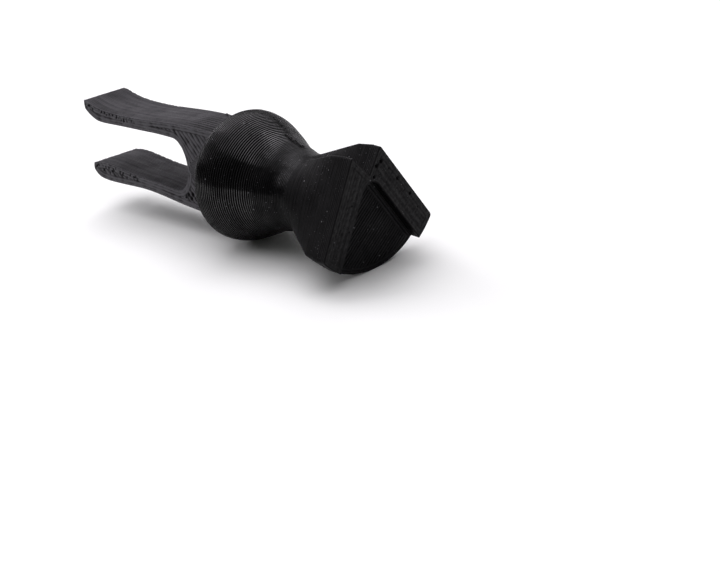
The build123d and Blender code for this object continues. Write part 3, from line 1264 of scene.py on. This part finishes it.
    def add_flare(self, shell: Shell) -> None:
        """Adds the round flare, laid down in strands that follow its level lines.

        Args:
            shell: Where it is added.
        """
        start = self.root_width + 0.12
        share = np.linspace(-1, 1, 181)
        share = np.sign(share) * np.abs(share) ** 0.9
        levels, depths = self.flare_levels(start)
        rows = []
        for y, depth in zip(levels, depths):
            reach = math.sqrt(self.rim_radius ** 2 - y ** 2)
            z = share * reach
            radius = np.maximum(np.sqrt(y ** 2 + z ** 2), start)
            x = np.minimum(self.flare_place(radius) + 0.5 * depth, -0.16)
            inner = 1 - 0.9 * depth / radius
            line = np.stack([x, y * inner, z * inner], -1)
            lip = [np.array([[place, y * size, sign * reach * size]])
                   for sign in (-1, 1) for place, size in ((-0.02, 0.985), (-0.05, 0.996), (-0.10, 1.0))]
            rows.append(np.concatenate([*lip[:3], line, *lip[:2:-1]]))
        grid = np.stack(rows)
        # painted shade in the grooves between the flare's strands
        shell.add_grid(grid, groove=(1.25 * depths / self.flare_groove)[:, None])
        shell.add_grid(np.stack([grid[:, -1], grid[:, 0]], axis=1))
        for row in (grid[0], grid[-1]):
            shell.add_patch(row, [tuple(range(len(row)))])

    def build(self, material: bpy.types.Material) -> bpy.types.Object:
        """Makes the fork.

        Args:
            material: Its finish.

        Returns:
            The fork.
        """
        shell = Shell()
        self.add_plate(shell)
        self.add_flare(shell)
        return shell.build("printed_fork", "fork", material, self.turn)


# ---------------------------------------------------------------- finishes


class Axis(Enum):
    """Direction across the layers of a piece, as the tool lies."""

    ALONG = (0.999406, 0.0, -0.034462)
    ACROSS = (0.0, 0.997916, -0.064532)


@dataclass(frozen=True)
class Finish:
    """Satin black plastic, with colours set to how bright one piece shows under the light: painted light and
    shade per piece.
    """

    name: str
    axis: Axis
    dark: Triple = (0.0030, 0.0028, 0.0033)
    light: Triple = (0.0075, 0.0070, 0.0080)
    dust: Triple = (0.16, 0.16, 0.17)
    roughness: Pair = (0.40, 0.54)
    specular: float = 0.18
    grain: float = 0.25
    grain_depth: float = 0.06 * MM
    specks: float = 0.35
    layer: float = 0.30
    coat: float = 0.30
    coat_roughness: float = 0.30
    coat_ior: float = 1.5
    # colour of the painted shade in grooves and joins
    groove: Triple = (0.0010, 0.0009, 0.0011)


class Nodes:
    """Short calls to build one node tree."""

    def __init__(self, tree: bpy.types.NodeTree) -> None:
        """Starts on an empty tree."""
        self.tree = tree
        tree.nodes.clear()

    def add(self, kind: str, **inputs: object) -> bpy.types.Node:
        """Adds a node and sets its inputs to numbers or links them to sockets.

        Args:
            kind: Type of the node.
            inputs: Input names, with spaces as underscores, and their values or sockets.

        Returns:
            The node.
        """
        node = self.tree.nodes.new(kind)
        for name, value in inputs.items():
            self.plug(node.inputs[name.replace("_", " ")], value)
        return node

    def plug(self, socket: bpy.types.NodeSocket, value: object) -> None:
        """Sets a socket to a number or links it to another socket.

        Args:
            socket: The socket.
            value: A number, a colour or another socket.
        """
        if isinstance(value, bpy.types.NodeSocket):
            self.tree.links.new(value, socket)
        else:
            socket.default_value = value

    def math(self, operation: str, *values: object) -> bpy.types.NodeSocket:
        """Adds a math node and returns its result.

        Args:
            operation: What it works out.
            values: Numbers or sockets.

        Returns:
            The socket of the result.
        """
        node = self.tree.nodes.new("ShaderNodeMath")
        node.operation = operation
        for socket, value in zip(node.inputs, values):
            self.plug(socket, value)
        return node.outputs[0]

    def vector(self, operation: str, output: str, *values: object) -> bpy.types.NodeSocket:
        """Adds a vector math node and returns one of its results.

        Args:
            operation: What it works out.
            output: Name of the result.
            values: Vectors or sockets.

        Returns:
            The socket of the result.
        """
        node = self.tree.nodes.new("ShaderNodeVectorMath")
        node.operation = operation
        for socket, value in zip(node.inputs, values):
            self.plug(socket, value)
        return node.outputs[output]

    def noise(self, place: object, scale: float, detail: float, rough: float = 0.55) -> bpy.types.NodeSocket:
        """Adds a noise texture and returns its value."""
        node = self.add("ShaderNodeTexNoise", Vector=place, Scale=scale, Detail=detail, Roughness=rough)
        return node.outputs[0]

    def ramp(self, value: object, low: float, high: float) -> bpy.types.NodeSocket:
        """Stretches a value so that it runs from 0 to 1 between two limits.

        Args:
            value: The value.
            low: Where 0 is.
            high: Where 1 is.

        Returns:
            The socket of the result.
        """
        node = self.tree.nodes.new("ShaderNodeMapRange")
        self.plug(node.inputs["Value"], value)
        node.inputs["From Min"].default_value = low
        node.inputs["From Max"].default_value = high
        return node.outputs["Result"]


    def weigh(self, first: object, share: float, second: object, other: float) -> bpy.types.NodeSocket:
        """Adds two values, each times its own share."""
        return self.math("ADD", self.math("MULTIPLY", first, share), self.math("MULTIPLY", second, other))

    def mix(self, share: object, first: object, second: object) -> bpy.types.NodeSocket:
        """Mixes two colours by a share and returns the result.

        Args:
            share: Share of the second colour.
            first: A colour or a socket.
            second: A colour or a socket.

        Returns:
            The socket of the result.
        """
        node = self.tree.nodes.new("ShaderNodeMix")
        node.data_type = "RGBA"
        self.plug(node.inputs[0], share)
        for socket, value in ((node.inputs[6], first), (node.inputs[7], second)):
            self.plug(socket, (*value, 1.0) if isinstance(value, tuple) else value)
        return node.outputs[2]

    def group(self, effect: "Effect", **inputs: object) -> bpy.types.Node:
        """Places an effect and sets its inputs to numbers or links them to sockets.

        Args:
            effect: The effect.
            inputs: Its inputs' names, and their values or sockets.

        Returns:
            The node.
        """
        node = self.tree.nodes.new("ShaderNodeGroup")
        node.node_tree = effect.tree
        for name, value in inputs.items():
            self.plug(node.inputs[name], value)
        return node


VALUE, VECTOR = "NodeSocketFloat", "NodeSocketVector"


class Effect(Nodes):
    """A shader node group with named inputs and outputs."""

    def __init__(self, name: str, inputs: dict[str, str], outputs: tuple[str, ...]) -> None:
        """Makes the group.

        Args:
            name: Name of the group.
            inputs: Input names and socket types.
            outputs: Names of the outputs, which are all values.
        """
        super().__init__(bpy.data.node_groups.new(name, "ShaderNodeTree"))
        for label, kind in inputs.items():
            self.tree.interface.new_socket(label, in_out="INPUT", socket_type=kind)
        for label in outputs:
            self.tree.interface.new_socket(label, in_out="OUTPUT", socket_type=VALUE)
        self.source = self.tree.nodes.new("NodeGroupInput")
        self.result = self.tree.nodes.new("NodeGroupOutput")

    def take(self, label: str) -> bpy.types.NodeSocket:
        """The socket that brings in one of the inputs."""
        return self.source.outputs[label]

    def give(self, label: str, value: bpy.types.NodeSocket) -> None:
        """Sends a value to one of the outputs."""
        self.plug(self.result.inputs[label], value)


def grain_effect() -> Effect:
    """Fine grain of the plastic's skin: a height for the bump and a tone for colour and roughness.

    Returns:
        The effect.
    """
    effect = Effect("fine grain", {"Place": VECTOR}, ("Height", "Tone"))
    fine = effect.noise(effect.take("Place"), 5.5, 4.0, 0.6)
    broad = effect.noise(effect.take("Place"), 0.45, 3.0, 0.5)
    tiny = effect.noise(effect.take("Place"), 14.0, 2.0, 0.6)
    effect.give("Height", effect.weigh(fine, 0.7, tiny, 0.3))
    effect.give("Tone", effect.ramp(effect.weigh(broad, 0.55, fine, 0.45), 0.35, 0.65))
    return effect


def layer_effect() -> Effect:
    """Slight change of tone from layer to layer, along one direction.

    Returns:
        The effect.
    """
    effect = Effect("layer tone", {"Place": VECTOR, "Direction": VECTOR, "Thickness": VALUE}, ("Tone",))
    along = effect.vector("DOT_PRODUCT", "Value", effect.take("Place"), effect.take("Direction"))
    layer = effect.math("FLOOR", effect.math("DIVIDE", along, effect.take("Thickness")))
    random = effect.tree.nodes.new("ShaderNodeTexWhiteNoise")
    random.noise_dimensions = "1D"
    effect.plug(random.inputs["W"], layer)
    effect.give("Tone", random.outputs["Value"])
    return effect


def painted_shade_effect() -> Effect:
    """Masks of the mesh's painted shade and of the crowns left bright and glossy, broken up a little by the
    grain.

    Returns:
        The effect.
    """
    effect = Effect("grooves", {"Depth": VALUE, "Grain": VALUE}, ("PaintedShade", "Crown"))
    grainy_shade = effect.math("ADD", effect.take("Depth"), effect.math("MULTIPLY", effect.take("Grain"), 0.25))
    hollow = effect.ramp(grainy_shade, 0.15, 0.75)
    crown = effect.math("SUBTRACT", 1.0, hollow)
    effect.give("PaintedShade", hollow)
    effect.give("Crown", effect.math("MULTIPLY", crown, crown))
    return effect


def speck_effect() -> Effect:
    """Sparse pale specks of dust, as a mask.

    Returns:
        The effect.
    """
    effect = Effect("dust specks", {"Place": VECTOR, "Density": VALUE}, ("Mask",))
    cells = effect.add("ShaderNodeTexVoronoi", Vector=effect.take("Place"), Scale=0.9)
    size = effect.math("MULTIPLY", effect.vector("LENGTH", "Value", cells.outputs["Color"]), 0.085)
    dot = effect.ramp(effect.math("SUBTRACT", size, cells.outputs["Distance"]), 0.0, 0.04)
    small = effect.add("ShaderNodeTexVoronoi", Vector=effect.take("Place"), Scale=2.2)
    chance = effect.math("MULTIPLY", effect.noise(effect.take("Place"), 0.25, 1.0), 0.24)
    fine = effect.ramp(effect.math("SUBTRACT", chance, small.outputs["Distance"]), 0.0, 0.05)
    both = effect.math("MAXIMUM", dot, effect.math("MULTIPLY", fine, 0.6))
    effect.give("Mask", effect.math("MULTIPLY", both, effect.take("Density")))
    return effect


class Paint:
    """Turns each finish into a material, with the effects that they share."""

    def __init__(self) -> None:
        """Makes the shared effects once."""
        self.grain = grain_effect()
        self.layers = layer_effect()
        self.specks = speck_effect()
        # the painted shade of grooves and joins
        self.grooves = painted_shade_effect()

    def make(self, finish: Finish) -> bpy.types.Material:
        """Makes a material.

        Args:
            finish: What it looks like.

        Returns:
            The material.
        """
        material = bpy.data.materials.new(finish.name)
        material.use_nodes = True
        nodes = Nodes(material.node_tree)
        place = nodes.vector("SCALE", "Vector", nodes.add("ShaderNodeTexCoord").outputs["Object"])
        place.node.inputs["Scale"].default_value = 1 / MM
        mesh_painted_shade = nodes.add("ShaderNodeAttribute")
        mesh_painted_shade.attribute_name = PAINTED_SHADE
        grain = nodes.group(self.grain, Place=place)
        layers = nodes.group(self.layers, Place=place, Direction=finish.axis.value, Thickness=finish.layer)
        specks = nodes.group(self.specks, Place=place, Density=finish.specks)
        grooves = nodes.group(self.grooves, Depth=mesh_painted_shade.outputs["Fac"], Grain=grain.outputs["Tone"])
        tone = nodes.weigh(grain.outputs["Tone"], 0.65, layers.outputs["Tone"], 0.35)
        color = nodes.mix(tone, finish.dark, finish.light)
        # painted shade: the colour goes toward the groove colour where the mesh's painted shade is, and the
        # coat stays on the crowns
        color = nodes.mix(grooves.outputs["PaintedShade"], color, finish.groove)
        color = nodes.mix(specks.outputs["Mask"], color, finish.dust)
        smooth, matt = finish.roughness
        streak = nodes.weigh(grain.outputs["Tone"], 0.45, layers.outputs["Tone"], 0.55)
        rough = nodes.math("ADD", nodes.math("MULTIPLY", streak, matt - smooth), smooth)
        bump = nodes.add("ShaderNodeBump", Strength=finish.grain, Distance=finish.grain_depth)
        nodes.plug(bump.inputs["Height"], grain.outputs["Height"])
        shader = nodes.add(
            "ShaderNodeBsdfPrincipled", Base_Color=color, Roughness=rough, Normal=bump.outputs["Normal"],
            Coat_Weight=nodes.math("MULTIPLY", grooves.outputs["Crown"], finish.coat),
            Coat_Roughness=finish.coat_roughness, Coat_IOR=finish.coat_ior,
            Specular_IOR_Level=finish.specular,
        )
        nodes.add("ShaderNodeOutputMaterial", Surface=shader.outputs["BSDF"])
        return material


# ---------------------------------------------------------------- studio


@dataclass(frozen=True)
class Lamp:
    """A soft rectangular lamp that faces the tool, with lengths in metres."""

    name: str
    place: Triple
    size: Pair
    power: float


@dataclass
class Studio:
    """White floor, soft light and the camera."""

    floor_half: float = 1.2
    floor_middle: Pair = (-0.80, 0.62)
    floor_color: tuple[float, float, float, float] = (0.97, 0.99, 0.96, 1.0)
    ambient: float = 0.11
    tint: Triple = (1.0, 0.965, 1.02)
    lamps: tuple[Lamp, ...] = (
        Lamp("back_light", (-0.55, 0.45, 0.80), (1.15, 0.9), 7.8),
        Lamp("top_light", (-0.05, 0.02, 1.1), (1.6, 1.6), 10.5),
        Lamp("low_light", (-0.80, 1.35, 0.20), (1.3, 0.45), 2.2),
        Lamp("left_light", (-0.93, -0.10, 0.42), (0.9, 0.4), 4.5),
    )
    camera_place: Triple = (0.25483440, -0.17851452, 0.11565685)
    camera_right: Triple = (0.65003454, 0.74457486, -0.15186631)
    camera_down: Triple = (0.19386941, -0.35572931, -0.91425998)
    camera_forward: Triple = (-0.73475829, 0.56485833, -0.37558663)
    lens: float = 125.602

    def make_floor(self) -> None:
        """Makes the white floor that takes the shadow."""
        work = bmesh.new()
        bmesh.ops.create_grid(work, x_segments=8, y_segments=8, size=self.floor_half)
        turn = Matrix.Rotation(math.atan2(*self.floor_middle[::-1]), 4, "Z")
        place = Matrix.Translation((*self.floor_middle, 0.0)) @ turn
        bmesh.ops.transform(work, matrix=place, verts=work.verts)
        mesh = bpy.data.meshes.new("floor")
        work.to_mesh(mesh)
        work.free()
        material = bpy.data.materials.new("white floor")
        material.use_nodes = True
        shader = material.node_tree.nodes["Principled BSDF"]
        shader.inputs["Base Color"].default_value = self.floor_color
        shader.inputs["Roughness"].default_value = 0.9
        shader.inputs["Specular IOR Level"].default_value = 0.1
        mesh.materials.append(material)
        floor = bpy.data.objects.new("floor", mesh)
        bpy.context.scene.collection.objects.link(floor)

    def make_world(self) -> None:
        """Low even light all round, seen as white."""
        world = bpy.data.worlds.new("studio")
        world.use_nodes = True
        nodes = Nodes(world.node_tree)
        path = nodes.add("ShaderNodeLightPath")
        seen = nodes.math("MULTIPLY", path.outputs["Is Camera Ray"], 1.0 - self.ambient)
        strength = nodes.math("ADD", seen, self.ambient)
        background = nodes.add("ShaderNodeBackground", Color=(1.0, 1.0, 1.0, 1.0), Strength=strength)
        nodes.add("ShaderNodeOutputWorld", Surface=background.outputs[0])
        bpy.context.scene.world = world

    def make_lamps(self) -> None:
        """Hangs the lamps and turns them to the tool."""
        for lamp in self.lamps:
            light = bpy.data.lights.new(lamp.name, "AREA")
            light.shape = "RECTANGLE"
            light.size, light.size_y = lamp.size
            light.energy = lamp.power
            light.color = self.tint
            item = bpy.data.objects.new(lamp.name, light)
            item.location = lamp.place
            item.rotation_euler = (-Vector(lamp.place)).to_track_quat("-Z", "Y").to_euler()
            bpy.context.scene.collection.objects.link(item)

    def make_camera(self) -> None:
        """Sets the camera at the photograph's angle."""
        right, down, ahead = (np.array(v) for v in (self.camera_right, self.camera_down, self.camera_forward))
        matrix = Matrix.Identity(4)
        for row in range(3):
            matrix[row][0], matrix[row][1], matrix[row][2] = right[row], -down[row], -ahead[row]
            matrix[row][3] = self.camera_place[row]
        data = bpy.data.cameras.new("camera")
        data.lens = self.lens
        data.sensor_width = 36.0
        data.clip_start, data.clip_end = 0.01, 20.0
        camera = bpy.data.objects.new("camera", data)
        camera.matrix_world = matrix
        bpy.context.scene.collection.objects.link(camera)
        bpy.context.scene.camera = camera

    def build(self) -> None:
        """Makes the whole studio."""
        self.make_floor()
        self.make_world()
        self.make_lamps()
        self.make_camera()
        bpy.context.scene.view_settings.view_transform = "Standard"


def main() -> None:
    """Builds the studio and the tool, piece by piece."""
    logging.basicConfig(level=logging.INFO, format="%(message)s")
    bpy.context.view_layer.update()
    Studio().build()
    paint = Paint()
    # each piece gets its own colours of the one black plastic, set to how bright it shows: the fork's are
    # painted far lighter, as painted light on the whole fork
    fork = Finish(
        "black plastic, fork", Axis.ACROSS, dark=(0.062, 0.0598, 0.0655), light=(0.094, 0.0905, 0.0995),
        groove=(0.007, 0.0067, 0.0074), roughness=(0.46, 0.66), specular=0.05,
        coat=0.14, coat_roughness=0.45, specks=0.2,
    )
    grip = Finish(
        "black plastic, grip", Axis.ALONG, dark=(0.008, 0.0075, 0.0085), light=(0.018, 0.017, 0.019),
        groove=(0.0005, 0.0005, 0.0006), roughness=(0.30, 0.42), specular=0.02,
        coat=0.95, coat_roughness=0.10, coat_ior=1.85, specks=0.8,
    )
    head = Finish(
        "black plastic, head", Axis.ALONG, dark=(0.0052, 0.0050, 0.0054), light=(0.0125, 0.0120, 0.0130),
        roughness=(0.44, 0.56), specular=0.03, coat=0.16, coat_roughness=0.4, specks=0.6,
    )
    die = Finish(
        "black plastic, die", Axis.ALONG, dark=(0.0048, 0.0044, 0.0050), light=(0.0105, 0.0098, 0.0110),
        roughness=(0.42, 0.56), specular=0.05, coat=0.22, coat_roughness=0.4, specks=0.4,
    )
    Fork().build(paint.make(fork))
    Grip().build(paint.make(grip))
    StampHead().build(paint.make(head))
    ChevronDie().build(paint.make(die))


if __name__ == "__main__":
    main()
